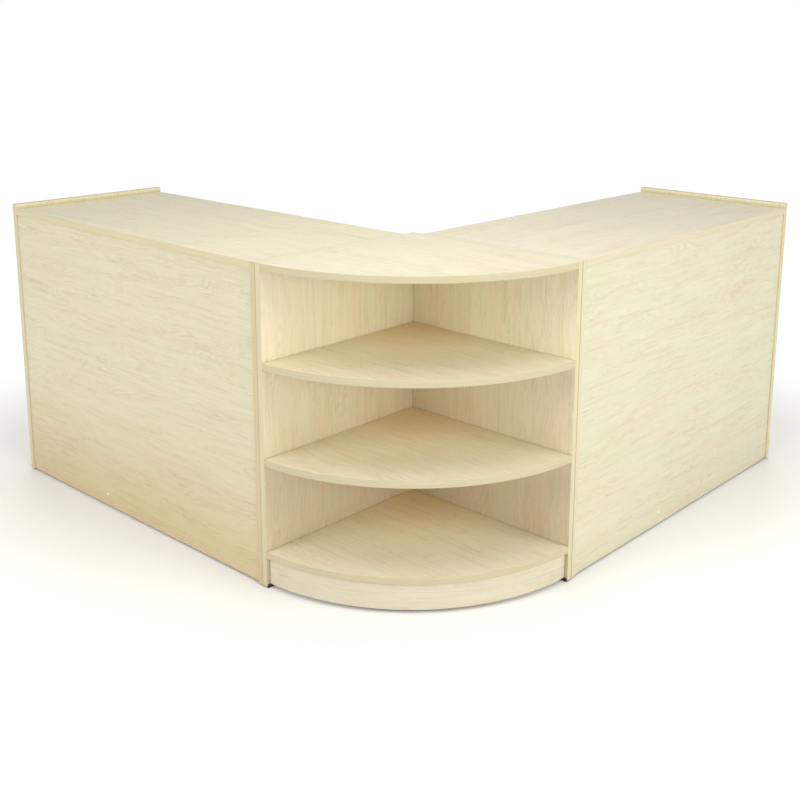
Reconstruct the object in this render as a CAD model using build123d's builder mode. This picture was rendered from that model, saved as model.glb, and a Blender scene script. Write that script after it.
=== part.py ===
from build123d import *

import math
import os

# Retail checkout counter in an L: two straight counters at a right angle, and an open
# quarter-round shelf unit that fills the corner between them. All boards are melamine-faced,
# with plastic edge strips on every edge that shows.
#
# Frame: millimetres, +Z up, the floor at Z = 0, the origin in the middle of the footprint's
# bounding square. The left counter runs along -X with its customer front facing -Y. The right
# counter runs along +Y with its customer front facing +X. Both are open on the staff side.

os.makedirs("parts", exist_ok=True)

# ---------------------------------------------------------------- driving dimensions
board = 18.0                # thickness of every board
strip = 1.0                 # thickness of a plastic edge strip
strip_round = 0.8           # rounding of a strip's long outer corners
total_height = 900.0        # top of the outer end panels
lip = 16.0                  # the outer end panels stand this far above the worktops
counter_length = 1200.0     # each straight counter, over its end panels
counter_depth = 550.0       # each straight counter, customer front to staff side
corner_side = 588.0         # each straight side of the corner unit
glide_height = 3.0          # the nail-on glides lift the upright panels
plinth_gap = 10.0           # from the floor to the plinth and the rails
plinth_setback = 10.0       # the curved plinth stands this far behind the shelf edge
base_top = 102.0            # upper face of all base shelves
front_gap = 6.0             # from the floor to the front panels
front_recess = 4.0          # the front panels stand this far behind the end panels' edges

# ---------------------------------------------------------------- fittings
dowel_r, dowel_length, dowel_in_panel = 4.0, 30.0, 12.0
cam_r, cam_depth, cam_from_edge = 7.5, 13.0, 34.0
bolt_thread_r, bolt_shank_r, bolt_in_panel = 2.5, 3.0, 11.0
cap_r, cap_thickness = 8.5, 1.2
confirmat_head_r, confirmat_head = 5.0, 3.0
confirmat_neck_r, confirmat_thread_r, confirmat_length = 3.5, 2.6, 50.0
screw_head_r, screw_head, screw_r = 4.0, 2.5, 2.0
screw_sink = 0.5            # a screw's head lies this far below the face
front_screw_length, joining_screw_length = 46.0, 29.0
front_cap_r, front_cap_thickness = 4.5, 1.0
glide_r, nail_r, nail_length = 8.0, 1.2, 10.0
angle_length, angle_leg, angle_height = 16.0, 3.0, 9.0      # the corner unit's angle glides
play = 0.1                  # clearance round a fitting in its hole, all round
glue_line = 0.1             # between a curved edge and its strip

# ---------------------------------------------------------------- loose shelf
shelf_side_play = 1.5       # between the loose shelf and each end panel
shelf_play = 0.3            # between the loose shelf and its supports
shelf_front_back = (25.0, counter_depth - 15)       # the loose shelf's two long edges
support_rows = (57.0, counter_depth - 37)           # the two rows of shelf pin holes
pin_pitch, pin_rows = 32.0, 5       # spacing and number of holes in a row
pin_r, pin_length = 2.5, 9.0
support_collar_r, support_collar = 5.0, 1.5
tab_length, tab_width, tab_thickness = 12.0, 10.0, 2.0

# ---------------------------------------------------------------- worked-out places
worktop_top = total_height - lip
worktop_bottom = worktop_top - board
base_bottom = base_top - board
clear_height = worktop_bottom - base_top
bay_height = (clear_height - 2 * board) / 3
lower_top = base_top + bay_height + board
upper_top = lower_top + bay_height + board
inner_length = counter_length - 2 * board
panel_back = front_recess + board           # back face of a front panel
apex_x = (counter_length - corner_side) / 2
apex_y = -apex_x
arc_core = corner_side - strip              # radius of a quarter-round board without its strip
arc_plinth = corner_side - plinth_setback

kick_back = counter_depth - 40              # back face of the kick rail
kick_front = kick_back - board
rib_screw_up = 42.0         # height of the screw through a front panel into the base rib
glide_rows = (25.0, counter_depth - 25)     # glides under a straight counter's end panels
joining_rows = (60.0, counter_depth - 60)   # joining screws, from the customer front
joining_heights = (220.0, 720.0)
middle_shelf = base_top + (clear_height - board) / 2    # underside of a shelf on the middle row

X, Y, Z = (1, 0, 0), (0, 1, 0), (0, 0, 1)
LOW = (Align.MIN, Align.MIN, Align.MIN)
ROD = (Align.CENTER, Align.CENTER, Align.MIN)


# ---------------------------------------------------------------- helpers
def save(piece, label):
    """Label a finished piece and write it as its own file."""
    piece.part.label = label
    export_step(piece.part, f"parts/{label}.step")


def block(corner_a, corner_b, mode=Mode.ADD):
    """A square-edged block between two opposite corners, in the current part."""
    low = [min(a, b) for a, b in zip(corner_a, corner_b)]
    size = [abs(a - b) for a, b in zip(corner_a, corner_b)]
    with Locations(tuple(low)):
        Box(*size, align=LOW, mode=mode)


def rods(points, direction, radius, length, mode=Mode.ADD):
    """Round bars, or holes when subtracted, that start at the points and run one way."""
    with Locations(*[Plane(origin=point, z_dir=direction) for point in points]):
        Cylinder(radius, length, align=ROD, mode=mode)


def moved(point, direction, distance):
    """The point carried a distance along a direction."""
    return tuple(p + distance * d for p, d in zip(point, direction))


def reverse(direction):
    """The opposite direction."""
    return tuple(-d for d in direction)


def edge_strip(start, along, outward, length):
    """A straight edge strip: a board's thickness wide, its two long outer corners rounded."""
    across = Vector(*outward).cross(Vector(*along))
    with BuildSketch(Plane(origin=start, x_dir=across, z_dir=along)) as section:
        Rectangle(board, strip, align=(Align.CENTER, Align.MIN))
        fillet(section.vertices().group_by(Axis.Y)[-1], strip_round)
    extrude(section.sketch, amount=length)


# ---------------------------------------------------------------- joints between boards
# Each joint is (point, into, face): the point where the fitting's axis crosses the face of the
# panel, the direction from there into the other board's edge, and the face of that board on
# which its cam is bored.
def drill_panel_for_bolts(joints):
    """Bolt holes in the face of the panel that the boards butt against."""
    for point, into, _ in joints:
        rods([point], reverse(into), bolt_thread_r + play, bolt_in_panel + 1, Mode.SUBTRACT)


def drill_board_for_cams(joints):
    """The bolt hole in a board's edge and the cam bore in its face."""
    for point, into, face in joints:
        cam_centre = moved(point, into, cam_from_edge)
        rods([point], into, bolt_shank_r + 0.5, cam_from_edge, Mode.SUBTRACT)
        rods([moved(cam_centre, face, board / 2)], reverse(face), cam_r, cam_depth, Mode.SUBTRACT)


def make_cams(joints):
    """Cam locks, each with the mouth that its bolt enters and a cross slot to turn it."""
    with BuildPart() as cams:
        for point, into, face in joints:
            cam_centre = moved(point, into, cam_from_edge)
            top = moved(cam_centre, face, board / 2)
            rods([top], reverse(face), cam_r - play, cam_depth - 0.5)
            mouth = moved(cam_centre, into, -cam_r)
            rods([mouth], into, bolt_shank_r + 0.5, cam_r + 1, Mode.SUBTRACT)
            side = tuple(Vector(*into).cross(Vector(*face)))
            for slot_way, slot_across in ((into, side), (side, into)):
                slot_a = moved(moved(top, slot_way, -4.5), slot_across, -0.8)
                slot_b = moved(moved(moved(top, slot_way, 4.5), slot_across, 0.8), face, -2.0)
                block(slot_a, slot_b, Mode.SUBTRACT)
    return cams


def make_cam_bolts(joints):
    """Cam bolts: a thread in the panel and a shank that ends inside the cam."""
    with BuildPart() as bolts:
        for point, into, _ in joints:
            rods([point], reverse(into), bolt_thread_r, bolt_in_panel)
            rods([point], into, bolt_shank_r, cam_from_edge)
    return bolts


def make_cam_caps(joints):
    """Thin round covers over the cams, with a rounded rim."""
    with BuildPart() as caps:
        for point, into, face in joints:
            cam_centre = moved(point, into, cam_from_edge)
            rods([moved(cam_centre, face, board / 2)], face, cap_r, cap_thickness)
        rims = caps.edges().filter_by(GeomType.CIRCLE)
        outer = [rim for rim in rims if is_outer_rim(rim, joints)]
        fillet(outer, cap_thickness / 2)
    return caps


def is_outer_rim(rim, joints):
    """True when a cap's rim is on the side away from its board."""
    for point, into, face in joints:
        outer_centre = moved(moved(point, into, cam_from_edge), face, board / 2 + cap_thickness)
        if (rim.arc_center - Vector(*outer_centre)).length < 0.01:
            return True
    return False


def drill_panel_for_dowels(joints):
    """Dowel holes in the face of a panel."""
    for point, into in joints:
        rods([point], reverse(into), dowel_r + play, dowel_in_panel + 1, Mode.SUBTRACT)


def drill_board_for_dowels(joints):
    """Dowel holes in a board's edge."""
    depth = dowel_length - dowel_in_panel + 1
    for point, into in joints:
        rods([point], into, dowel_r + play, depth, Mode.SUBTRACT)


def make_dowels(joints):
    """Wooden dowels across the joints."""
    with BuildPart() as dowels:
        for point, into in joints:
            rods([moved(point, into, -dowel_in_panel)], into, dowel_r, dowel_length)
    return dowels


def drill_for_screws(points, way, length, extra):
    """Countersunk screw holes from a face, with a recess for the head."""
    recess = screw_sink + screw_head + extra
    rods(points, way, screw_head_r + play, recess, Mode.SUBTRACT)
    rods(points, way, screw_r + play, length, Mode.SUBTRACT)


def screws(points, way, length):
    """Screws with a tapered head and a cross recess, in the current part."""
    starts = [moved(point, way, screw_sink) for point in points]
    rods([moved(start, way, screw_head) for start in starts], way, screw_r, length - screw_head)
    with Locations(*[Plane(origin=start, z_dir=way) for start in starts]):
        Cone(screw_head_r, screw_r, screw_head, align=ROD)
    for start in starts:
        rods([start], way, 1.4, 1.2, Mode.SUBTRACT)


def glides(points, height):
    """Round glides on the floor under the points, each with its nail up into the board."""
    feet = [(x, y, 0) for x, y in points]
    rods(feet, Z, glide_r, height)
    rods([(x, y, height) for x, y in points], Z, nail_r, nail_length)


def angle_glides(points, inward, height):
    """Angle glides under the points: a flat sole across the board's bottom edge, with its
    nail up into the board, and a short leg that turns up the board's inner face."""
    along = tuple(abs(part) for part in Vector(*inward).cross(Vector(*Z)))
    for x, y in points:
        rear = moved((x, y, 0), along, -angle_length / 2)
        front = moved((x, y, 0), along, angle_length / 2)
        leg_end = moved(front, inward, board / 2 + angle_leg)
        block(moved(rear, inward, -board / 2), moved(leg_end, Z, height))
        block(moved(rear, inward, board / 2), moved(leg_end, Z, angle_height))
    rods([(x, y, height) for x, y in points], Z, nail_r, nail_length)


def drill_for_nails(points, bottom):
    """Nail holes in a board's bottom edge."""
    rods([(x, y, bottom) for x, y in points], Z, nail_r + play, nail_length + 1, Mode.SUBTRACT)


# ---------------------------------------------------------------- straight counters
class Counter:
    """One straight counter, in its own measures: along from the corner unit, back from the
    customer front, and up from the floor."""

    def __init__(self, side, rib_along, pins_up):
        self.side = side
        self.rib_along = rib_along
        self.pins_up = pins_up          # pin holes above the middle one that carry the shelf
        if side == "left":
            self.origin = (apex_x, apex_y - corner_side, 0)
            self.along, self.back = (-1, 0, 0), Y
        else:
            self.origin = (apex_x + corner_side, apex_y, 0)
            self.along, self.back = Y, (-1, 0, 0)

    def at(self, along, back, up):
        """A place in the counter's measures, as a point of the whole frame."""
        on_front = moved(self.origin, self.along, along)
        return moved(moved(on_front, self.back, back), Z, up)

    def ends(self):
        """The inner faces of the two end panels, each with the way into the counter."""
        return ((board, self.along), (counter_length - board, reverse(self.along)))

    def cam_joints(self, back_up, face):
        """Cam joints at both ends, at the given depths and heights."""
        return [(self.at(s, back, up), into, face)
                for s, into in self.ends() for back, up in back_up]

    def dowel_joints(self, back_up):
        """Dowel joints at both ends, at the given depths and heights."""
        return [(self.at(s, back, up), into)
                for s, into in self.ends() for back, up in back_up]


def at_end(joints, counter, end):
    """Those joints that are on one end panel: 0 is the inner one and 1 the outer."""
    into = counter.ends()[end][1]
    return [joint for joint in joints if joint[1] == into]


def make_counter(counter):
    """All pieces of one straight counter, written one by one."""
    at, side = counter.at, counter.side
    along, back = counter.along, counter.back
    front, down = reverse(back), reverse(Z)
    far = counter_length

    # Where the boards are joined.
    top_mid, base_mid = worktop_top - board / 2, base_top - board / 2
    front_mid, kick_mid = front_recess + board / 2, kick_back - board / 2
    top_cams = counter.cam_joints([(b, top_mid) for b in joining_rows], down)
    base_cams = counter.cam_joints([(90, base_mid), (kick_front - 42, base_mid)], down)
    front_cams = counter.cam_joints([(front_mid, 200), (front_mid, 700)], back)
    all_cams = top_cams + base_cams + front_cams
    top_dowels = counter.dowel_joints([(counter_depth / 2, top_mid)])
    base_dowels = counter.dowel_joints([(counter_depth / 2, base_mid)])
    front_dowels = counter.dowel_joints([(front_mid, 450)])
    kick_dowels = counter.dowel_joints([(kick_mid, 28), (kick_mid, 65)])
    rib_dowel = [(at(counter.rib_along, kick_front, 46), front)]
    end_dowels = top_dowels + base_dowels + front_dowels + kick_dowels

    # The two upright end panels, with rows of holes for the shelf supports.
    middle_pin = middle_shelf - shelf_play - tab_thickness / 2
    pin_heights = [middle_pin + pin_pitch * (n - pin_rows // 2) for n in range(pin_rows)]
    joining = [at(board, b, up) for b in joining_rows for up in joining_heights]
    panels = (("inner", 0, 0, worktop_top), ("outer", 1, far - board, total_height))
    for name, end, start, height in panels:
        face, into = counter.ends()[end]
        feet = [at(start + board / 2, b, 0)[:2] for b in glide_rows]
        pins = [at(face, b, up) for b in support_rows for up in pin_heights]
        with BuildPart() as panel:
            block(at(start, strip, glide_height),
                  at(start + board, counter_depth - strip, height - strip))
            drill_panel_for_bolts(at_end(all_cams, counter, end))
            drill_panel_for_dowels(at_end(end_dowels, counter, end))
            rods(pins, reverse(into), pin_r + play, pin_length + 1, Mode.SUBTRACT)
            drill_for_nails(feet, glide_height)
            if name == "inner":
                drill_for_screws(joining, reverse(along), board, 0.2)
        save(panel, f"{side}_{name}_end_panel")

        middle = start + board / 2
        upright = height - strip - glide_height
        with BuildPart() as edging:
            edge_strip(at(middle, strip, glide_height), Z, front, upright)
            edge_strip(at(middle, counter_depth - strip, glide_height), Z, back, upright)
            edge_strip(at(middle, 0, height - strip), back, Z, counter_depth)
        save(edging, f"{side}_{name}_end_edge_strips")

    # The front panel hangs between the end panels, under the worktop.
    front_screw = [at(counter.rib_along, front_recess, rib_screw_up)]
    with BuildPart() as front_panel:
        block(at(board, front_recess, front_gap), at(far - board, panel_back, worktop_bottom))
        drill_board_for_cams(front_cams)
        drill_board_for_dowels(front_dowels)
        drill_for_screws(front_screw, back, board, 0.2)
    save(front_panel, f"{side}_front_panel")

    # The worktop lies between the end panels.
    with BuildPart() as worktop:
        block(at(board, strip, worktop_bottom),
              at(far - board, counter_depth - strip, worktop_top))
        drill_board_for_cams(top_cams)
        drill_board_for_dowels(top_dowels)
    save(worktop, f"{side}_worktop")

    with BuildPart() as worktop_strips:
        edge_strip(at(board, strip, top_mid), along, front, inner_length)
        edge_strip(at(board, counter_depth - strip, top_mid), along, back, inner_length)
    save(worktop_strips, f"{side}_worktop_edge_strips")

    # The base shelf, with a kick rail and a rib that carry it.
    with BuildPart() as base_shelf:
        block(at(board, panel_back, base_bottom),
              at(far - board, counter_depth - strip, base_top))
        drill_board_for_cams(base_cams)
        drill_board_for_dowels(base_dowels)
    save(base_shelf, f"{side}_base_shelf")

    with BuildPart() as base_strip:
        edge_strip(at(board, counter_depth - strip, base_mid), along, back, inner_length)
    save(base_strip, f"{side}_base_shelf_edge_strip")

    with BuildPart() as kick_rail:
        block(at(board, kick_front, plinth_gap), at(far - board, kick_back, base_bottom))
        drill_board_for_dowels(kick_dowels)
        drill_panel_for_dowels(rib_dowel)
    save(kick_rail, f"{side}_kick_rail")

    with BuildPart() as base_rib:
        block(at(counter.rib_along - board / 2, panel_back, plinth_gap),
              at(counter.rib_along + board / 2, kick_front, base_bottom))
        drill_board_for_dowels(rib_dowel)
        rods(front_screw, back, screw_r + play, front_screw_length + 2, Mode.SUBTRACT)
    save(base_rib, f"{side}_base_rib")

    # The loose shelf lies on four plated supports.
    shelf_front, shelf_back = shelf_front_back
    shelf_start, shelf_end = board + shelf_side_play, far - board - shelf_side_play
    loose_bottom = middle_shelf + pin_pitch * counter.pins_up
    with BuildPart() as loose_shelf:
        block(at(shelf_start, shelf_front, loose_bottom),
              at(shelf_end, shelf_back - strip, loose_bottom + board))
    save(loose_shelf, f"{side}_adjustable_shelf")

    with BuildPart() as loose_strip:
        edge_strip(at(shelf_start, shelf_back - strip, loose_bottom + board / 2),
                   along, back, shelf_end - shelf_start)
    save(loose_strip, f"{side}_adjustable_shelf_edge_strip")

    pin_up = middle_pin + pin_pitch * counter.pins_up
    with BuildPart() as supports:
        for face, into in counter.ends():
            for b in support_rows:
                root = at(face, b, pin_up)
                rods([root], reverse(into), pin_r, pin_length)
                with Locations(Plane(origin=root, z_dir=into)):
                    Cylinder(support_collar_r, support_collar, align=ROD)
                # The collar is cut level with the tab, so that the shelf clears it.
                collar_a = at(face, b - support_collar_r, pin_up + tab_thickness / 2)
                collar_b = moved(at(face, b + support_collar_r, pin_up + support_collar_r),
                                 into, support_collar)
                block(collar_a, collar_b, Mode.SUBTRACT)
                tab_a = at(face, b - tab_width / 2, pin_up - tab_thickness / 2)
                tab_b = moved(at(face, b + tab_width / 2, pin_up + tab_thickness / 2),
                              into, tab_length)
                block(tab_a, tab_b)
    save(supports, f"{side}_shelf_supports")

    # Fittings.
    save(make_dowels(end_dowels + rib_dowel), f"{side}_dowels")
    save(make_cams(all_cams), f"{side}_cam_locks")
    save(make_cam_bolts(all_cams), f"{side}_cam_bolts")
    save(make_cam_caps(all_cams), f"{side}_cam_caps")

    feet = [at(s, b, 0)[:2] for s in (board / 2, far - board / 2) for b in glide_rows]
    with BuildPart() as end_glides:
        glides(feet, glide_height)
    save(end_glides, f"{side}_glides")


# The right counter's loose shelf hangs one hole higher, so that both can be drawn out at once.
counters = (Counter("left", 740.0, 0), Counter("right", 460.0, 1))
for counter in counters:
    make_counter(counter)

# Screws of the same kind on both counters.
with BuildPart() as front_screws:
    for counter in counters:
        place = counter.at(counter.rib_along, front_recess, rib_screw_up)
        screws([place], counter.back, front_screw_length)
save(front_screws, "front_screws")

with BuildPart() as front_screw_caps:
    for counter in counters:
        place = counter.at(counter.rib_along, front_recess, rib_screw_up)
        rods([place], reverse(counter.back), front_cap_r, front_cap_thickness)
save(front_screw_caps, "front_screw_caps")

with BuildPart() as joining_screws:
    for counter in counters:
        places = [counter.at(board, b, up) for b in joining_rows for up in joining_heights]
        screws(places, reverse(counter.along), joining_screw_length)
save(joining_screws, "joining_screws")


# ---------------------------------------------------------------- corner unit
def corner_at(right, forward, up):
    """A place in the corner unit: right along its one side, forward along its other."""
    return (apex_x + right, apex_y - forward, up)


def quarter(radius, low, bore=0.0):
    """A quarter-round sketch between the side panels, solid or as a ring."""
    with BuildSketch(Plane(origin=corner_at(0, 0, low))) as outline:
        Circle(radius)
        if bore:
            Circle(bore, mode=Mode.SUBTRACT)
        with Locations((board, -board)):
            Rectangle(radius, radius, align=(Align.MIN, Align.MAX), mode=Mode.INTERSECT)
    return outline.sketch


DOWN_Y = reverse(Y)
screw_places = (120.0, 450.0)       # confirmat screws, from the apex along each side
board_mids = [top - board / 2 for top in (base_top, lower_top, upper_top, worktop_top)]
into_left = [corner_at(0, place, mid) for mid in board_mids for place in screw_places]
into_right = [corner_at(place, 0, mid) for mid in board_mids for place in screw_places]
into_apex = [corner_at(0, board / 2, up) for up in (150, 440, 740)]


def drill_confirmats_in_panel(points, way):
    """Head recess and neck hole through a side panel."""
    rods(points, way, confirmat_head_r + play, confirmat_head + play, Mode.SUBTRACT)
    rods(points, way, confirmat_neck_r + play, board, Mode.SUBTRACT)


def drill_confirmats_in_edge(points, way):
    """Pilot holes in a board's edge, which the threads fill."""
    starts = [moved(point, way, board) for point in points]
    depth = confirmat_length - board + 1
    rods(starts, way, confirmat_thread_r + play, depth, Mode.SUBTRACT)


def confirmats(points, way):
    """Confirmat screws: a flat head, a thick neck and a long thread."""
    rods(points, way, confirmat_head_r, confirmat_head)
    rods(points, way, confirmat_neck_r, board)
    rods(points, way, confirmat_thread_r, confirmat_length)
    rods(points, way, 2.0, 2.0, Mode.SUBTRACT)


joined = [counter.at(0, b, up)
          for counter in counters for b in joining_rows for up in joining_heights]
left_feet = [corner_at(board / 2, f, 0)[:2] for f in (40, corner_side - 10)]
right_feet = [corner_at(r, board / 2, 0)[:2] for r in (60, corner_side - 10)]
upright = worktop_top - strip - glide_height

with BuildPart() as left_side_panel:
    block(corner_at(0, 0, glide_height), corner_at(board, corner_side - strip,
                                                   worktop_top - strip))
    drill_confirmats_in_panel(into_left + into_apex, X)
    rods(joined[:4], X, screw_r + play, 12.5, Mode.SUBTRACT)
    drill_for_nails(left_feet, glide_height)
save(left_side_panel, "corner_left_side_panel")

with BuildPart() as right_side_panel:
    block(corner_at(board, 0, glide_height), corner_at(corner_side - strip, board,
                                                       worktop_top - strip))
    drill_confirmats_in_panel(into_right, DOWN_Y)
    drill_confirmats_in_edge(into_apex, X)
    rods(joined[4:], DOWN_Y, screw_r + play, 12.5, Mode.SUBTRACT)
    drill_for_nails(right_feet, glide_height)
save(right_side_panel, "corner_right_side_panel")

with BuildPart() as left_side_strips:
    edge_strip(corner_at(board / 2, corner_side - strip, glide_height), Z, DOWN_Y, upright)
    edge_strip(corner_at(board / 2, 0, worktop_top - strip), DOWN_Y, Z, corner_side)
save(left_side_strips, "corner_left_side_edge_strips")

with BuildPart() as right_side_strips:
    edge_strip(corner_at(corner_side - strip, board / 2, glide_height), Z, X, upright)
    edge_strip(corner_at(board, board / 2, worktop_top - strip), X, Z, corner_side - board)
save(right_side_strips, "corner_right_side_edge_strips")

quarter_boards = (("top", worktop_top), ("upper_shelf", upper_top),
                  ("lower_shelf", lower_top), ("base_shelf", base_top))
for name, top in quarter_boards:
    low, mid = top - board, top - board / 2
    with BuildPart() as quarter_board:
        extrude(quarter(arc_core, low), amount=board)
        drill_confirmats_in_edge([corner_at(0, place, mid) for place in screw_places], X)
        drill_confirmats_in_edge([corner_at(place, 0, mid) for place in screw_places], DOWN_Y)
    save(quarter_board, f"corner_{name}")

    with BuildPart() as curved_strip:
        extrude(quarter(corner_side, low, arc_core + glue_line), amount=board)
        arcs = curved_strip.edges().filter_by(GeomType.CIRCLE)
        fillet([arc for arc in arcs if arc.radius > corner_side - strip / 4], strip_round)
    save(curved_strip, f"corner_{name}_edge_strip")

# The curved plinth and the blocks glued behind it.
with BuildPart() as plinth:
    extrude(quarter(arc_plinth, plinth_gap, arc_plinth - board),
            amount=base_bottom - plinth_gap)
save(plinth, "corner_plinth")

block_size, block_height = 30.0, 60.0
plinth_inner = arc_plinth - board - glue_line
block_mid = math.sqrt(plinth_inner**2 - (block_size / 2)**2) - block_size / 2
with BuildPart() as plinth_blocks:
    for angle in (15, 45, 75):
        turn = math.radians(angle)
        place = corner_at(block_mid * math.cos(turn), block_mid * math.sin(turn),
                          base_bottom - block_height)
        with Locations(Plane(origin=place, x_dir=(math.cos(turn), -math.sin(turn), 0))):
            Box(block_size, block_size, block_height, align=ROD)
save(plinth_blocks, "corner_plinth_blocks")

with BuildPart() as confirmat_screws:
    confirmats(into_left + into_apex, X)
    confirmats(into_right, DOWN_Y)
save(confirmat_screws, "corner_confirmat_screws")

with BuildPart() as corner_glides:
    angle_glides(left_feet, X, glide_height)
    angle_glides(right_feet, DOWN_Y, glide_height)
save(corner_glides, "corner_glides")
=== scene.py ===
"""Looks of the checkout counter: maple-effect boards, edge strips, fittings, studio and camera."""

import math

import bmesh
import bpy
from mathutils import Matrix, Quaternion, Vector


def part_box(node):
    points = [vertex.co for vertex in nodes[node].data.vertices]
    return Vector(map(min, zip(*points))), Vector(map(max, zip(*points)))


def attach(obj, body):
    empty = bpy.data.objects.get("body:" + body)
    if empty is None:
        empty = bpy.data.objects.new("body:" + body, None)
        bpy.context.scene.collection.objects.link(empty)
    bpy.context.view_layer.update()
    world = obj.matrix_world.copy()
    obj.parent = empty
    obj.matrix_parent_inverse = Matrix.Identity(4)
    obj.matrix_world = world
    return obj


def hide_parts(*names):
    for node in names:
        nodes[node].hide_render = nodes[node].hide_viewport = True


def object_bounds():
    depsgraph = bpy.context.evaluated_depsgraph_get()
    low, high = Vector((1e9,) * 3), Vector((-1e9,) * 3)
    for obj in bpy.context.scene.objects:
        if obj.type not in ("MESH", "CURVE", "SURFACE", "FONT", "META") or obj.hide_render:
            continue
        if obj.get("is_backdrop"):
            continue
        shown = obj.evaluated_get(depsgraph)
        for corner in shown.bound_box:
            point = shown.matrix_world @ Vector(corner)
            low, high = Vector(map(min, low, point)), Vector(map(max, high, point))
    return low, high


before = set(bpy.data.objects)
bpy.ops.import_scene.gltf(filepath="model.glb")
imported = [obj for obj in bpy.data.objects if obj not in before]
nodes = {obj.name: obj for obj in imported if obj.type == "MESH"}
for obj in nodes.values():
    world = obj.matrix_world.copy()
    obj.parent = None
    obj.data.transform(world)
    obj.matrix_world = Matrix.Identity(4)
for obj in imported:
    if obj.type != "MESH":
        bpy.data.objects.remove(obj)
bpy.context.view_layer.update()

MM = 0.001
AXES = {"X": 0, "Y": 1, "Z": 2}


# ---------------------------------------------------------------- shader helpers
FACING = 0.7                # a normal's part along an axis, above which a face faces that way


def per_axis(grain, along, across):
    """A scale vector: one scale along the grain's axis and one across it."""
    scale = [across] * 3
    scale[AXES[grain]] = along
    return tuple(scale)


def rgba(red, green, blue):
    """A colour with full alpha."""
    return (red, green, blue, 1.0)


class Tree:
    """A material's node tree, with short calls that add a node, set it and return its output."""

    def __init__(self, name):
        self.material = bpy.data.materials.new(name)
        self.material.use_nodes = True
        self.tree = self.material.node_tree
        self.tree.nodes.clear()
        self.surface = self.tree.nodes.new("ShaderNodeBsdfPrincipled")
        output = self.tree.nodes.new("ShaderNodeOutputMaterial")
        self.tree.links.new(self.surface.outputs["BSDF"], output.inputs["Surface"])

    def put(self, socket, value):
        """Link an output to a socket, or set the socket's own value."""
        if isinstance(value, bpy.types.NodeSocket):
            self.tree.links.new(value, socket)
        else:
            socket.default_value = value

    def node(self, kind, inputs=(), **settings):
        """Add a node with its settings and its inputs by name or number."""
        made = self.tree.nodes.new(kind)
        for key, value in settings.items():
            setattr(made, key, value)
        for key, value in dict(inputs).items():
            self.put(made.inputs[key], value)
        return made

    def position(self):
        """The place on the object, in metres."""
        return self.node("ShaderNodeTexCoord").outputs["Object"]

    def along_curve(self):
        """The place on a curved piece: metres round it, and its height."""
        return self.node("ShaderNodeUVMap", uv_map="along").outputs["UV"]

    def face_normal(self):
        """The normal of the face itself, without any smoothing."""
        return self.node("ShaderNodeNewGeometry").outputs["True Normal"]

    def split(self, vector):
        """A vector's three parts, by number or by axis."""
        return self.node("ShaderNodeSeparateXYZ", {0: vector}).outputs

    def math(self, operation, a, b=0.0):
        """One operation on two values."""
        return self.node("ShaderNodeMath", {0: a, 1: b}, operation=operation).outputs[0]

    def product(self, a, b):
        """Two values multiplied."""
        return self.math("MULTIPLY", a, b)

    def added(self, vector, offset):
        """A vector moved by another."""
        return self.node("ShaderNodeVectorMath", {0: vector, 1: offset}, operation="ADD").outputs[0]

    def scaled(self, vector, scale):
        """A vector multiplied axis by axis."""
        made = self.node("ShaderNodeVectorMath", {0: vector, 1: scale}, operation="MULTIPLY")
        return made.outputs[0]

    def noise(self, place, scale, detail=2.0, roughness=0.5, distortion=0.0):
        """Noise from 0 to 1, with a scale of its own for each axis."""
        made = self.node("ShaderNodeTexNoise", {
            "Vector": self.scaled(place, scale), "Scale": 1.0, "Detail": detail,
            "Roughness": roughness, "Distortion": distortion})
        return made.outputs["Fac"]

    def ramp(self, value, low, high, to_low=0.0, to_high=1.0):
        """The value spread smoothly from one range to another, and held at its ends."""
        made = self.node("ShaderNodeMapRange", {
            "Value": value, "From Min": low, "From Max": high,
            "To Min": to_low, "To Max": to_high}, interpolation_type="SMOOTHSTEP")
        return made.outputs["Result"]

    def mix(self, share, first, second, blend="MIX"):
        """Two colours mixed."""
        made = self.node("ShaderNodeMix", {"Factor": share}, data_type="RGBA", blend_type=blend)
        self.put(made.inputs[6], first)
        self.put(made.inputs[7], second)
        return made.outputs[2]

    def tinged(self, colour, value, low, high, share, other):
        """Another colour mixed in, up to a share, as the value goes from low to high."""
        return self.mix(self.ramp(value, low, high, 0.0, share), colour, other)

    def toned(self, colour, tone):
        """A colour multiplied by a tone."""
        return self.mix(1.0, colour, tone, "MULTIPLY")

    def bump(self, height, distance, normal=None):
        """A bump of that many metres."""
        inputs = {"Height": height, "Distance": distance, "Strength": 1.0}
        if normal is not None:
            inputs["Normal"] = normal
        return self.node("ShaderNodeBump", inputs).outputs["Normal"]

    def finish(self, **values):
        """Set the surface's sockets, named with underscores for spaces."""
        for key, value in values.items():
            self.put(self.surface.inputs[key.replace("_", " ")], value)
        return self.material


# ---------------------------------------------------------------- maple-effect board
MAPLE = rgba(0.800, 0.715, 0.510)
MAPLE_PALE = rgba(0.850, 0.790, 0.600)
MAPLE_PINK = rgba(0.815, 0.660, 0.465)
MAPLE_GREEN = rgba(0.735, 0.695, 0.450)
MAPLE_LINE = rgba(0.560, 0.365, 0.210)
# The colour of the painted shade in crevices and recesses.
CREVICE_SHADE = rgba(0.210, 0.150, 0.085)
CHIP_LIGHT = rgba(0.56, 0.42, 0.26)
CHIP_DARK = rgba(0.30, 0.20, 0.11)
CHIPS = 420.0               # chips per metre
RAW_ROUGHNESS = rgba(0.9, 0.9, 0.9)

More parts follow.
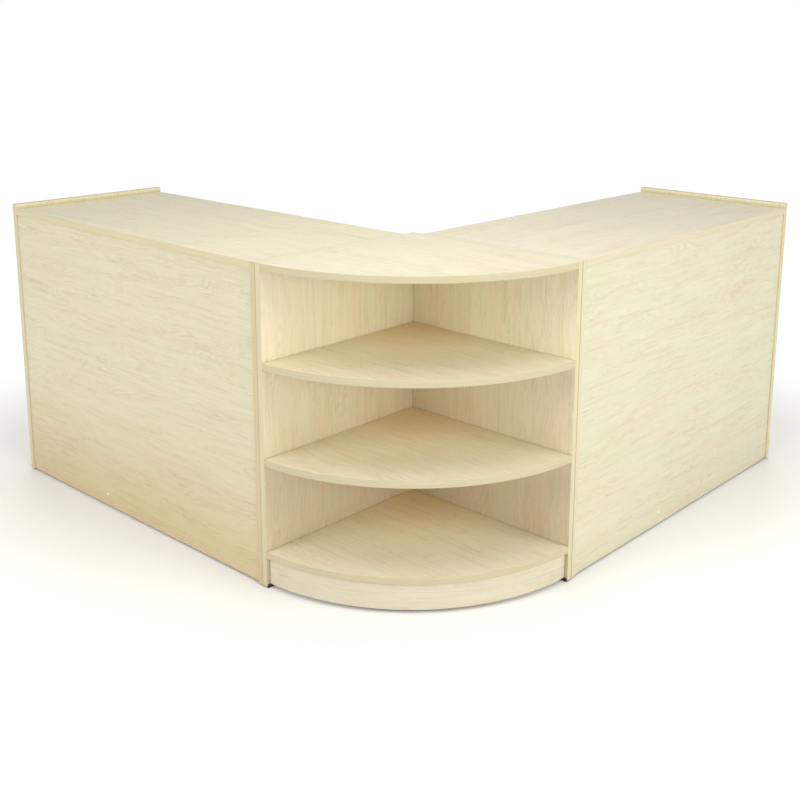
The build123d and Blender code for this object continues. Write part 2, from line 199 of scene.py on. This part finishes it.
# Each layer of the printed figure: its scale per metre along the grain and across it.
FIGURE = {
    "sway": (5.0, 11.0), "drift": (2.2, 19.0), "tint": (4.5, 62.0), "field": (1.6, 10.0),
    "fade": (4.0, 30.0), "broad": (3.6, 105.0), "group": (4.0, 20.0), "streak": (8.5, 270.0),
    "fibre": (16.0, 720.0), "pore": (40.0, 330.0),
}
SWAY_REACH = 34.0 * MM      # how far the figure may wander across the grain
CONTOURS = 26.0             # contour lines over the height field's whole range
PORE_DEPTH = -0.6           # beside the fibres' height of 1
FACE_BUMP = 0.05 * MM
CURVED_BUMP = 0.06 * MM

# Painted shade where pieces meet and in recesses: how much of it, and how far it reaches.
BOARD_CREVICES = (0.30, 7.0 * MM)
STRIP_CREVICES = (0.90, 5.0 * MM)

# How much paler or deeper each kind of board is painted than the common colour. These tones are
# partly painted light and shade: the shelves and the corner's side panels, deep in the bays, are
# painted paler, and the fronts and the plinth, which face the lamps, deeper.
FULL_TONE = (1.02, 1.005, 1.01)
FRONT_TONE = (0.86, 0.905, 0.90)
WORKTOP_TONE = (0.96, 1.01, 1.05)
SHELF_TONE = (1.01, 1.045, 1.075)
SIDE_TONE = (1.06, 1.08, 1.11)
PLINTH_TONE = (0.88, 0.905, 0.97)
# A tinted part of a board: the stretches over which the tint comes in, each an axis with the
# places where it starts and where it is full, and the tint's colour.
LOW_PEACH = ((("Z", 0.42, 0.0),), (0.97, 0.865, 0.73))
# Painted shade: the corner's side panels are darker towards the floor.
LOW_SHADE = ((("Z", 0.75, 0.0),), (0.75, 0.70, 0.65))
# Painted shade on the inner face of an outer end panel's lip, deepest just above the worktop.
LIP_SHADE = (0.76, 0.83, 0.68)
LIP_SHADE_FOOT = (-1.0 * MM, 2.0 * MM)   # about the worktop's top, where the lip's tint comes in
LIP_SHADE_FULL = 4.0 * MM                # above the worktop, where it is deepest
# Painted warm shade on the shelves, deepest at the apex.
APEX_SHADE = (1.05, 0.91, 0.76)
APEX_SHADE_START = 0.40                  # metres from the apex, where the shelves' tint starts
APEX_SHADE_FULL = 0.06                   # and where it is deepest


def wandering(shader, place, grain):
    """The place moved a little across the grain, so that the figure flows and isn't ruled."""
    sway = shader.noise(place, per_axis(grain, *FIGURE["sway"]))
    aside = shader.product(shader.math("SUBTRACT", sway, 0.5), SWAY_REACH)
    move = shader.node("ShaderNodeCombineXYZ", {
        axis: aside for axis in range(3) if axis != AXES[grain]})
    return shader.added(place, move.outputs[0])


def maple_colour(shader, place, grain):
    """The printed maple figure over a place in metres: colour, and a height for the bump."""
    place = wandering(shader, place, grain)
    scale = {layer: per_axis(grain, *pair) for layer, pair in FIGURE.items()}
    # Soft patches of pinker and greener print, longer along the grain than across it.
    drift = shader.noise(place, scale["drift"], 3.0, 0.6)
    tint = shader.noise(place, scale["tint"], 2.0, 0.6)
    colour = shader.tinged(MAPLE, drift, 0.46, 0.68, 0.50, MAPLE_PINK)
    colour = shader.tinged(colour, tint, 0.50, 0.66, 0.65, MAPLE_GREEN)
    # Flat-sawn figure: thin contour lines of a slow height field, which come and go.
    field = shader.noise(place, scale["field"])
    contour = shader.math("FRACT", shader.product(field, CONTOURS))
    line = shader.product(shader.ramp(contour, 0.35, 0.85), shader.ramp(contour, 1.0, 0.88))
    fade = shader.noise(place, scale["fade"])
    line = shader.product(line, shader.ramp(fade, 0.42, 0.70, 0.0, 0.20))
    colour = shader.mix(line, colour, MAPLE_LINE)
    # Streaks along the grain, broad, middling and fine, the middling ones in loose groups.
    broad = shader.noise(place, scale["broad"])
    colour = shader.tinged(colour, broad, 0.46, 0.30, 0.30, MAPLE_PALE)
    colour = shader.tinged(colour, broad, 0.52, 0.76, 0.18, MAPLE_LINE)
    group = shader.noise(place, scale["group"])
    streak = shader.ramp(shader.noise(place, scale["streak"]), 0.50, 0.74, 0.0, 0.32)
    streak = shader.product(streak, shader.ramp(group, 0.36, 0.64, 0.30, 1.0))
    colour = shader.mix(streak, colour, MAPLE_LINE)
    fibre = shader.noise(place, scale["fibre"], 2.0, 0.6)
    colour = shader.tinged(colour, fibre, 0.48, 0.80, 0.18, MAPLE_LINE)
    # Short pores, each a thin dash, where the groups are thickest.
    cells = shader.node("ShaderNodeTexVoronoi", {
        "Vector": shader.scaled(place, scale["pore"]), "Scale": 1.0, "Randomness": 1.0})
    pore = shader.product(shader.ramp(cells.outputs["Distance"], 0.34, 0.12),
                          shader.ramp(group, 0.46, 0.64, 0.0, 0.35))
    colour = shader.mix(pore, colour, MAPLE_LINE)
    height = shader.math("ADD", fibre, shader.product(pore, PORE_DEPTH))
    return colour, height


def with_crevice_shade(shader, colour, share, reach):
    """The colour darkened with painted shade where pieces meet, within that reach."""
    open_sky = shader.node("ShaderNodeAmbientOcclusion", {"Distance": reach}, samples=6)
    return shader.tinged(colour, open_sky.outputs["AO"], 0.95, 0.42, share, CREVICE_SHADE)


def with_tint(shader, colour, place, stretches, tint):
    """The colour with a tint that comes in over every one of the stretches."""
    spot = shader.split(place)
    share = 1.0
    for axis, start, full in stretches:
        share = shader.product(shader.ramp(spot[axis], start, full), share)
    return shader.mix(share, colour, shader.toned(colour, rgba(*tint)))


def chipboard_colour(shader, place):
    """The raw core that shows on unbanded edges and in drilled holes."""
    chips = shader.node("ShaderNodeTexVoronoi", {"Vector": place, "Scale": CHIPS})
    tone = shader.node("ShaderNodeSeparateColor", {0: chips.outputs["Color"]}).outputs[0]
    return shader.mix(tone, CHIP_DARK, CHIP_LIGHT)


def maple_board(name, grain, thick, shift, tone=FULL_TONE, tinted=None):
    """Melamine-faced board: maple print on its two faces, raw chipboard on its edges."""
    shader = Tree(name)
    place = shader.position()
    colour, height = maple_colour(shader, shader.added(place, shift), grain)
    colour = shader.toned(colour, rgba(*tone))
    if tinted:
        stretches, tint = tinted
        colour = with_tint(shader, colour, place, stretches, tint)
    across = shader.math("ABSOLUTE", shader.split(shader.face_normal())[AXES[thick]])
    on_face = shader.math("GREATER_THAN", across, FACING)
    colour = shader.mix(on_face, chipboard_colour(shader, place), colour)
    colour = with_crevice_shade(shader, colour, *BOARD_CREVICES)
    smudge = shader.noise(place, (7.0, 7.0, 7.0), 3.0, 0.6)
    gloss = shader.ramp(smudge, 0.35, 0.70, 0.36, 0.46)
    roughness = shader.mix(on_face, RAW_ROUGHNESS, gloss)
    return shader.finish(Base_Color=colour, Roughness=roughness, IOR=1.46,
                         Normal=shader.bump(height, FACE_BUMP))


def curved_maple(name):
    """Maple print of the plinth, which follows its curve."""
    shader = Tree(name)
    place = shader.along_curve()
    colour, height = maple_colour(shader, place, "X")
    colour = shader.toned(colour, rgba(*PLINTH_TONE))
    colour = with_crevice_shade(shader, colour, *BOARD_CREVICES)
    smudge = shader.noise(place, (9.0, 9.0, 9.0), 3.0)
    return shader.finish(Base_Color=colour, Roughness=shader.ramp(smudge, 0.3, 0.7, 0.4, 0.5),
                         Normal=shader.bump(height, CURVED_BUMP))


# ---------------------------------------------------------------- edge strip
STRIP_MAIN = rgba(0.655, 0.595, 0.370)
STRIP_DEEP = rgba(0.560, 0.475, 0.275)
STRIP_PEACH = rgba(0.690, 0.565, 0.370)
# The pale colour of the arrises: wear, and also a painted highlight.
STRIP_WEAR_AND_HIGHLIGHT = rgba(0.780, 0.735, 0.530)
# The colour of the painted shade along the joints between units.
SEAM_SHADE = rgba(0.380, 0.330, 0.170)
SEAM_REACH = 3.6 * MM

# How much paler or deeper each strip is than the common colour. The curved tone is painted shade,
# as the curved strips face the lamps. The level tone is that of a joint's strips on their top
# faces, which are made about as pale as the worktop.
PLAIN_TONE = (1.0, 1.0, 1.0)
CURVED_TONE = (0.88, 0.87, 0.88)
PALE_TONE = (1.0, 1.02, 1.12)
TAN_TONE = (0.94, 0.88, 0.84)
LEVEL_TONE = (1.14, 1.19, 1.40)

# Scales per metre, along the strip and across it.
STRIP_STREAKS = (5.0, 330.0)
STRIP_DRIFT = (5.0, 30.0)
SCUFFS = (24.0, 24.0, 24.0)
ARRIS = 0.9 * MM            # the radius that the arrises are shaded with
STRIP_BUMP = 0.04 * MM


def strip_scale(shader, pair, grain, level_grain, on_top):
    """The scale of a strip's streaks, which turn with the strip on the top of its panel."""
    upright = per_axis(grain, *pair)
    if level_grain is None:
        return upright
    return shader.mix(on_top, rgba(*upright), rgba(*per_axis(level_grain, *pair)))


def with_worn_and_lit_arrises(shader, colour, place, flat, rounded):
    """The colour paled on the arrises, more in some places: wear from handling, and a painted
    highlight.
    """
    level = shader.node("ShaderNodeVectorMath", {0: rounded, 1: flat},
                        operation="DOT_PRODUCT").outputs["Value"]
    patchy = shader.ramp(shader.noise(place, SCUFFS, 4.0), 0.3, 0.7, 0.25, 0.80)
    wear_and_highlight = shader.product(shader.ramp(level, 0.99, 0.86), patchy)
    return shader.mix(wear_and_highlight, colour, STRIP_WEAR_AND_HIGHLIGHT)


def with_seam_shade(shader, colour, place, on_top, seam):
    """The colour darkened with painted shade along the upright joint between two units."""
    axis, at, seam_darkness = seam
    off = shader.math("ABSOLUTE", shader.math("SUBTRACT", shader.split(place)[axis], at))
    shaded = shader.product(shader.ramp(off, SEAM_REACH, 0.0, 0.0, seam_darkness),
                           shader.math("SUBTRACT", 1.0, on_top))
    return shader.mix(shaded, colour, SEAM_SHADE)


def strip_plastic(name, grain, level_grain=None, tone=PLAIN_TONE, curved=False, seam=None):
    """Plastic edge strip: yellower than the board, streaked lengthways, paler on its arrises from
    wear and a painted highlight.

    Strips that run upright also lie along the top of their panel, where the streaks turn
    with them into level_grain. A seam is an axis, the place on it where this strip meets the
    next unit's, and how much painted shade lies along the upright joint.
    """
    shader = Tree(name)
    place = shader.along_curve() if curved else shader.position()
    flat = shader.face_normal()
    on_top = None
    if level_grain:
        on_top = shader.math("GREATER_THAN", shader.split(flat)["Z"], FACING)
    streak_scale = strip_scale(shader, STRIP_STREAKS, grain, level_grain, on_top)
    drift_scale = strip_scale(shader, STRIP_DRIFT, grain, level_grain, on_top)
    streak = shader.noise(place, streak_scale, 3.0, 0.6)
    drift = shader.noise(place, drift_scale, 3.0)
    colour = shader.tinged(STRIP_MAIN, streak, 0.42, 0.72, 0.55, STRIP_DEEP)
    colour = shader.tinged(colour, drift, 0.45, 0.65, 0.30, STRIP_PEACH)
    rounded = shader.node("ShaderNodeBevel", {"Radius": ARRIS}, samples=4).outputs["Normal"]
    colour = with_worn_and_lit_arrises(shader, colour, place, flat, rounded)
    if seam:
        colour = shader.toned(colour, shader.mix(on_top, rgba(*tone), rgba(*LEVEL_TONE)))
        colour = with_seam_shade(shader, colour, place, on_top, seam)
    else:
        colour = shader.toned(colour, rgba(*tone))
    # Painted shade, strongest in the grooves and recesses round the strips.
    colour = with_crevice_shade(shader, colour, *STRIP_CREVICES)
    return shader.finish(Base_Color=colour, Roughness=shader.ramp(drift, 0.3, 0.7, 0.30, 0.42),
                         IOR=1.5, Normal=shader.bump(streak, STRIP_BUMP, rounded))


# ---------------------------------------------------------------- fittings
# Each fitting material's scales per metre and its bump.
PLASTIC_DRIFT = (90.0, 90.0, 90.0)
PLASTIC_GRAIN = (2400.0, 2400.0, 2400.0)
PLASTIC_BUMP = 0.03 * MM
METAL_PATCHES = (180.0, 180.0, 180.0)
METAL_SCRATCHES = (300.0, 2600.0, 2600.0)
METAL_BUMP = 0.02 * MM
TIMBER_RINGS = (8.0, 190.0)
TIMBER_BUMP = 0.15 * MM


def plastic(name, colour, deep, roughness):
    """Moulded plastic with a fine texture and a slight drift in its colour."""
    shader = Tree(name)
    place = shader.position()
    drift = shader.noise(place, PLASTIC_DRIFT, 3.0)
    grain = shader.noise(place, PLASTIC_GRAIN)
    rough = shader.ramp(drift, 0.3, 0.7, roughness - 0.05, roughness + 0.08)
    return shader.finish(Base_Color=shader.tinged(colour, drift, 0.35, 0.7, 1.0, deep),
                         Roughness=rough, Normal=shader.bump(grain, PLASTIC_BUMP))


def metal(name, colour, stain, roughness):
    """Plated or cast metal with dull patches and fine scratches."""
    shader = Tree(name)
    place = shader.position()
    patch = shader.noise(place, METAL_PATCHES, 4.0, 0.6)
    scratch = shader.noise(place, METAL_SCRATCHES)
    rough = shader.ramp(patch, 0.3, 0.7, roughness - 0.06, roughness + 0.12)
    return shader.finish(Base_Color=shader.tinged(colour, patch, 0.45, 0.75, 1.0, stain),
                         Roughness=rough, Metallic=1.0, Normal=shader.bump(scratch, METAL_BUMP))


def bare_wood(name, light, dark, grain):
    """Plain timber of the dowels and glue blocks."""
    shader = Tree(name)
    ring = shader.noise(shader.position(), per_axis(grain, *TIMBER_RINGS), 3.0, 0.6, 0.3)
    return shader.finish(Base_Color=shader.tinged(light, ring, 0.35, 0.7, 1.0, dark),
                         Roughness=shader.ramp(ring, 0.3, 0.7, 0.6, 0.75),
                         Normal=shader.bump(ring, TIMBER_BUMP))


def paint(obj, material):
    """Give an object this one material."""
    obj.data.materials.clear()
    obj.data.materials.append(material)


# ---------------------------------------------------------------- boards of the two counters
# Each board by its node's ending: the axis of its grain and of its thickness on the left
# counter, and its tone. On the right counter X and Y change places.
COUNTER_BOARDS = {
    "outer_end_panel": ("Z", "X", FULL_TONE), "inner_end_panel": ("Z", "X", FULL_TONE),
    "front_panel": ("X", "Y", FRONT_TONE), "worktop": ("X", "Z", WORKTOP_TONE),
    "base_shelf": ("X", "Z", FULL_TONE), "adjustable_shelf": ("X", "Z", FULL_TONE),
    "kick_rail": ("X", "Y", FULL_TONE), "base_rib": ("Y", "X", FULL_TONE),
}
SWAPPED = {"X": "Y", "Y": "X", "Z": "Z"}
# The right counter's boards, which are given slightly cooler tones.
RIGHT_TONES = {"front_panel": (0.84, 0.905, 0.915), "worktop": (0.97, 1.02, 1.09)}
# Every board is cut from a place of its own in the print: steps in metres from board to board
# and from counter to counter, and the places of the corner unit's boards.
BOARD_STEP = (3.7, 2.9, 1.9)
COUNTER_STEP = (1.3, 11.0, 0.0)
CORNER_LEFT_CUT = (5.1, 2.2, 0.4)
CORNER_RIGHT_CUT = (8.6, 6.3, 1.4)
SHELF_CUT = (0.3, 0.7, 12.4)
CORNER_TOP_CUT = (2.3, 0.9, 7.4)


def lip_inside(side, thick):
    """The inner face of an outer end panel's lip, painted darker and yellower from its top down to
    the worktop: painted shade.
    """
    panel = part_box(f"{side}_outer_end_panel")
    low, high = (corner[AXES[thick]] for corner in panel)
    inner, outer = (high, low) if side == "left" else (low, high)
    worktop_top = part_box(f"{side}_worktop")[1].z
    lip_top = panel[1].z
    stretches = (("Z", *(worktop_top + level for level in LIP_SHADE_FOOT)),
                 ("Z", lip_top, worktop_top + LIP_SHADE_FULL),
                 (thick, (inner + outer) / 2, inner))
    return stretches, LIP_SHADE


def counter_tint(side, ending, thick):
    """The tinted part of a counter's board, if it has one."""
    if ending == "outer_end_panel":
        return lip_inside(side, thick)
    if (side, ending) == ("left", "front_panel"):
        return LOW_PEACH
    return None


for turn, side in enumerate(("left", "right")):
    for number, (ending, (grain, thick, tone)) in enumerate(COUNTER_BOARDS.items()):
        if side == "right":
            grain = SWAPPED[grain]
            thick = SWAPPED[thick]
            tone = RIGHT_TONES.get(ending, tone)
        shift = [number * board_step + turn * counter_step
                 for board_step, counter_step in zip(BOARD_STEP, COUNTER_STEP)]
        material = maple_board(f"maple_{side}_{ending}", grain, thick, shift, tone,
                               counter_tint(side, ending, thick))
        paint(nodes[f"{side}_{ending}"], material)

for side, thick, cut in (("left", "X", CORNER_LEFT_CUT), ("right", "Y", CORNER_RIGHT_CUT)):
    paint(nodes[f"corner_{side}_side_panel"],
          maple_board(f"maple_corner_{side}", "Z", thick, cut, SIDE_TONE, LOW_SHADE))


# ---------------------------------------------------------------- strips and fittings
# For the left and the right counter: the axis along it, the tones of its level strips and of
# its inner end's, and the seam where it meets the corner unit, with how much painted shade lies
# along that joint.
ALONG = {"left": "X", "right": "Y"}
LEVEL_STRIP_TONES = {"left": PLAIN_TONE, "right": PALE_TONE}
INNER_STRIP_TONES = {"left": TAN_TONE, "right": PALE_TONE}
SEAMS = {"left": ("X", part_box("corner_left_side_panel")[0].x, 0.30),
         "right": ("Y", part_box("corner_right_side_panel")[1].y, 0.75)}

for side, along in ALONG.items():
    across = SWAPPED[along]
    level_strip = strip_plastic(f"strip_{along}", along, tone=LEVEL_STRIP_TONES[side])
    for ending in ("worktop_edge_strips", "base_shelf_edge_strip", "adjustable_shelf_edge_strip"):
        paint(nodes[f"{side}_{ending}"], level_strip)
    paint(nodes[f"{side}_outer_end_edge_strips"],
          strip_plastic(f"strip_{side}_outer", "Z", across))
    paint(nodes[f"corner_{side}_side_edge_strips"],
          strip_plastic(f"strip_{side}_corner", "Z", across, seam=SEAMS[side]))
    paint(nodes[f"{side}_inner_end_edge_strips"],
          strip_plastic(f"strip_{side}_inner", "Z", across, INNER_STRIP_TONES[side],
                        seam=SEAMS[side]))

zinc = metal("zinc_plate", rgba(0.66, 0.67, 0.68), rgba(0.50, 0.50, 0.48), 0.34)
nickel = metal("nickel_plate", rgba(0.74, 0.71, 0.66), rgba(0.60, 0.57, 0.52), 0.20)
cast_zinc = metal("cast_zinc", rgba(0.52, 0.52, 0.53), rgba(0.38, 0.38, 0.38), 0.48)
black = plastic("black_glide", rgba(0.022, 0.022, 0.023), rgba(0.04, 0.038, 0.035), 0.5)
maple_cap = plastic("maple_cap", MAPLE, MAPLE_PINK, 0.42)
white_cap = plastic("white_cap", rgba(0.90, 0.90, 0.88), rgba(0.82, 0.82, 0.78), 0.25)
pine = bare_wood("pine_block", rgba(0.74, 0.56, 0.33), rgba(0.58, 0.38, 0.19), "Z")

for side, along in ALONG.items():
    beech = bare_wood(f"beech_{along}", rgba(0.62, 0.42, 0.25), rgba(0.48, 0.30, 0.17), along)
    paint(nodes[f"{side}_dowels"], beech)
    paint(nodes[f"{side}_cam_locks"], cast_zinc)
    paint(nodes[f"{side}_cam_bolts"], zinc)
    paint(nodes[f"{side}_cam_caps"], maple_cap)
    paint(nodes[f"{side}_shelf_supports"], nickel)
    paint(nodes[f"{side}_glides"], black)
paint(nodes["corner_glides"], black)
paint(nodes["corner_plinth_blocks"], pine)
paint(nodes["front_screw_caps"], white_cap)
for screws in ("corner_confirmat_screws", "front_screws", "joining_screws"):
    paint(nodes[screws], zinc)


# ---------------------------------------------------------------- quarter-round pieces
ARC_STEPS = 120             # segments along each quarter-round edge
ROUND_STEPS = 4             # segments round each rounded edge of a section
SHARP_ANGLE = 35.0          # degrees, above which an edge isn't shaded smooth
STRIP_THICK = 1.0 * MM
STRIP_CLEAR = 0.1 * MM      # between a strip and the board behind it, so that no faces coincide
STRIP_EASE = 0.8 * MM
BOARD_EASE = 0.3 * MM
PLINTH_EASE = 0.5 * MM

# The apex of the corner unit, where its two side panels meet, and how thick they are.
apex = Vector((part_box("corner_left_side_panel")[0].x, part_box("corner_right_side_panel")[1].y))
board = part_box("corner_left_side_panel")[1].x - apex.x


def arc_point(radius, share):
    """A point on a quarter circle about the apex, from one side panel's face to the other's."""
    start = math.asin(board / radius)
    angle = start + share * (math.pi / 2 - 2 * start)
    return Vector((apex.x + radius * math.sin(angle), apex.y - radius * math.cos(angle)))


def new_piece(name, mesh, node, material):
    """Finish a mesh as a piece that stands for a CAD node of the counter's body."""
    mesh.normal_update()
    data = bpy.data.meshes.new(name)
    mesh.to_mesh(data)
    mesh.free()
    for face in data.polygons:
        face.use_smooth = True
    data.set_sharp_from_angle(angle=math.radians(SHARP_ANGLE))
    piece = bpy.data.objects.new(name, data)
    bpy.context.scene.collection.objects.link(piece)
    paint(piece, material)
    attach(piece, "counter")
    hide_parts(node)
    return piece


def quarter_board(node, radius, material):
    """A quarter-round board, smooth round its edge, with its faces' edges just broken."""
    low, high = (corner.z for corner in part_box(node))
    inner = Vector((apex.x + board, apex.y - board))
    levels = ((low, BOARD_EASE), (low + BOARD_EASE, 0.0),
              (high - BOARD_EASE, 0.0), (high, BOARD_EASE))
    mesh = bmesh.new()
    rings = []
    for height, inset in levels:
        ring = [mesh.verts.new((inner.x, inner.y, height))]
        for step in range(ARC_STEPS + 1):
            spot = arc_point(radius - inset, step / ARC_STEPS)
            ring.append(mesh.verts.new((spot.x, spot.y, height)))
        rings.append(ring)
    mesh.faces.new(list(reversed(rings[0])))
    mesh.faces.new(rings[-1])
    for below, above in zip(rings, rings[1:]):
        for here in range(len(below)):
            after = (here + 1) % len(below)
            mesh.faces.new((below[here], below[after], above[after], above[here]))
    return new_piece(f"{node}_board", mesh, node, material)


def strip_profile(inner, outer, low, high, ease):
    """The section of a curved strip: radius and height round it, outer corners rounded."""
    profile = [(inner, high), (inner, low)]
    for centre, start in ((low + ease, -90.0), (high - ease, 0.0)):
        for turn in range(ROUND_STEPS + 1):
            angle = math.radians(start + 90.0 * turn / ROUND_STEPS)
            profile.append((outer - ease + ease * math.cos(angle),
                            centre + ease * math.sin(angle)))
    return profile


def swept_ring(profile):
    """A closed section carried round the quarter circle, with both ends capped."""
    mesh = bmesh.new()
    along = mesh.loops.layers.uv.new("along")
    rings = []
    for step in range(ARC_STEPS + 1):
        ring = []
        for radius, height in profile:
            spot = arc_point(radius, step / ARC_STEPS)
            ring.append(mesh.verts.new((spot.x, spot.y, height)))
        rings.append(ring)
    count = len(profile)
    outer = max(radius for radius, _ in profile)
    length = outer * math.pi / 2
    for step, (ring, onward) in enumerate(zip(rings, rings[1:])):
        for here in range(count):
            after = (here + 1) % count
            face = mesh.faces.new((ring[here], onward[here], onward[after], ring[after]))
            for loop in face.loops:
                far = loop.vert in (onward[here], onward[after])
                share = (step + (1 if far else 0)) / ARC_STEPS
                loop[along].uv = (share * length, loop.vert.co.z)
    mesh.faces.new(rings[0])
    mesh.faces.new(list(reversed(rings[-1])))
    return mesh


# The shelves are painted warmer and deeper towards the corner between the two side panels: painted
# warm shade.
to_apex = (("X", apex.x + APEX_SHADE_START, apex.x + APEX_SHADE_FULL),
           ("Y", apex.y - APEX_SHADE_START, apex.y - APEX_SHADE_FULL))
shelf_maple = maple_board("maple_quarter", "X", "Z", SHELF_CUT, SHELF_TONE, (to_apex, APEX_SHADE))
corner_top_maple = maple_board("maple_corner_top", "X", "Z", CORNER_TOP_CUT, WORKTOP_TONE)
curved_strip = strip_plastic("strip_curved", "X", tone=CURVED_TONE, curved=True)

QUARTERS = {"corner_top": corner_top_maple, "corner_upper_shelf": shelf_maple,
            "corner_lower_shelf": shelf_maple, "corner_base_shelf": shelf_maple}
strip_out = math.hypot(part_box("corner_top_edge_strip")[1].x - apex.x, board)
strip_in = strip_out - STRIP_THICK + STRIP_CLEAR
for node, material in QUARTERS.items():
    quarter_board(node, strip_out - STRIP_THICK, material)
    low, high = (corner.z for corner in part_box(f"{node}_edge_strip"))
    profile = strip_profile(strip_in, strip_out, low, high, STRIP_EASE)
    new_piece(f"{node}_curved_strip", swept_ring(profile), f"{node}_edge_strip",
              curved_strip)

plinth_low, plinth_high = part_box("corner_plinth")
plinth_out = math.hypot(plinth_high.x - apex.x, board)
plinth_profile = strip_profile(plinth_out - board, plinth_out, plinth_low.z, plinth_high.z,
                               PLINTH_EASE)
new_piece("corner_curved_plinth", swept_ring(plinth_profile), "corner_plinth",
          curved_maple("maple_plinth"))


# ---------------------------------------------------------------- studio
WHITE = rgba(1.0, 1.0, 1.0)
NOTHING = rgba(0.0, 0.0, 0.0)
FLOOR_SEEN = rgba(0.93, 0.92, 0.905)
FLOOR_LIT = rgba(0.80, 0.78, 0.75)
FLOOR_RADIUS = 4.6
FLOOR_SIDES = 96
FADE_START = 1.3            # metres from the middle, where the floor starts to fade
FADE_END = 2.1              # and where it is all white
ROOM_SEEN = 1.0
ROOM_LIT = 0.4

# Each soft square lamp: its place, what it is aimed at, its side in metres, its power in watts,
# and whether it shows in reflections.
LAMPS = {
    "right_wing": ((4.2, 0.6, 1.85), (0.4, 0.1, 0.5), 1.6, 58.0, False),
    "left_wing": ((-0.6, -4.2, 1.85), (-0.2, -0.5, 0.5), 1.6, 62.0, False),
    "low_right": ((3.6, -1.8, 1.1), (0.3, -0.3, 0.6), 1.2, 35.0, False),
    "corner_top": ((0.8, -0.8, 2.4), (0.5, -0.5, 0.9), 1.6, 24.0, True),
    "staff_left": ((-0.9, 3.4, 1.5), (-0.2, 0.0, 0.4), 1.8, 39.0, False),
    "staff_right": ((-3.4, 0.9, 1.5), (0.0, 0.2, 0.4), 1.8, 39.0, False),
}


def floor_paint():
    """Pale floor round the counter, which fades outwards into the white of the room.

    It lights the counter less than it seems to, as the room does.
    """
    shader = Tree("studio_floor_paint")
    direct = shader.node("ShaderNodeLightPath").outputs["Is Camera Ray"]
    ground = shader.mix(direct, FLOOR_LIT, FLOOR_SEEN)
    away = shader.node("ShaderNodeVectorMath", {0: shader.position()},
                       operation="LENGTH").outputs["Value"]
    faded = shader.ramp(away, FADE_START, FADE_END)
    return shader.finish(Base_Color=shader.mix(faded, ground, NOTHING), Roughness=0.9,
                         Emission_Strength=faded, Emission_Color=WHITE)


def lay_floor():
    """The round studio floor."""
    mesh = bmesh.new()
    bmesh.ops.create_circle(mesh, cap_ends=True, segments=FLOOR_SIDES, radius=FLOOR_RADIUS)
    data = bpy.data.meshes.new("studio_floor")
    mesh.to_mesh(data)
    mesh.free()
    floor = bpy.data.objects.new("studio_floor", data)
    bpy.context.scene.collection.objects.link(floor)
    paint(floor, floor_paint())
    floor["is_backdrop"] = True


def light_room():
    """An even white room, which lights the counter less than the eye sees."""
    world = bpy.data.worlds.new("studio_light")
    bpy.context.scene.world = world
    world.use_nodes = True
    room = world.node_tree
    seen = room.nodes["Background"]
    lit = room.nodes.new("ShaderNodeBackground")
    for background, strength in ((seen, ROOM_SEEN), (lit, ROOM_LIT)):
        background.inputs["Color"].default_value = WHITE
        background.inputs["Strength"].default_value = strength
    either = room.nodes.new("ShaderNodeMixShader")
    direct = room.nodes.new("ShaderNodeLightPath").outputs["Is Camera Ray"]
    room.links.new(direct, either.inputs["Fac"])
    room.links.new(lit.outputs["Background"], either.inputs[1])
    room.links.new(seen.outputs["Background"], either.inputs[2])
    room.links.new(either.outputs["Shader"], room.nodes["World Output"].inputs["Surface"])


def hang_lamp(name, place, target, side, power, gloss):
    """A soft square lamp at a place, aimed at a target, with or without its own reflections."""
    data = bpy.data.lights.new(name, "AREA")
    data.shape = "SQUARE"
    data.size = side
    data.energy = power
    lamp = bpy.data.objects.new(name, data)
    lamp.location = place
    lamp.rotation_mode = "QUATERNION"
    lamp.rotation_quaternion = (Vector(target) - Vector(place)).to_track_quat("-Z", "Y")
    lamp.visible_camera = False
    lamp.visible_glossy = gloss
    bpy.context.scene.collection.objects.link(lamp)


lay_floor()
light_room()
for name, (place, target, side, power, gloss) in LAMPS.items():
    hang_lamp(name, place, target, side, power, gloss)

bpy.context.scene.view_settings.view_transform = "Standard"

# ---------------------------------------------------------------- camera
CAMERA_PLACE = (2.458, -2.654, 1.465)
HEADING = math.radians(131.72)      # of the view, from +X towards +Y
DIP = math.radians(12.37)           # of the view, below level
ROLL = math.radians(0.445)

camera_data = bpy.data.cameras.new("camera")
camera_data.sensor_width = 36.0
camera_data.lens = 50.4
camera_data.shift_x = -0.0349
camera_data.shift_y = -0.16
camera_data.clip_end = 100.0
camera = bpy.data.objects.new("camera", camera_data)
camera.location = CAMERA_PLACE
forward = Vector((math.cos(HEADING) * math.cos(DIP), math.sin(HEADING) * math.cos(DIP),
                  -math.sin(DIP)))
camera.rotation_mode = "QUATERNION"
camera.rotation_quaternion = (forward.to_track_quat("-Z", "Y")
                              @ Quaternion((0.0, 0.0, 1.0), ROLL))
bpy.context.scene.collection.objects.link(camera)
bpy.context.scene.camera = camera

# ---------------------------------------------------------------- sizes
low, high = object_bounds()
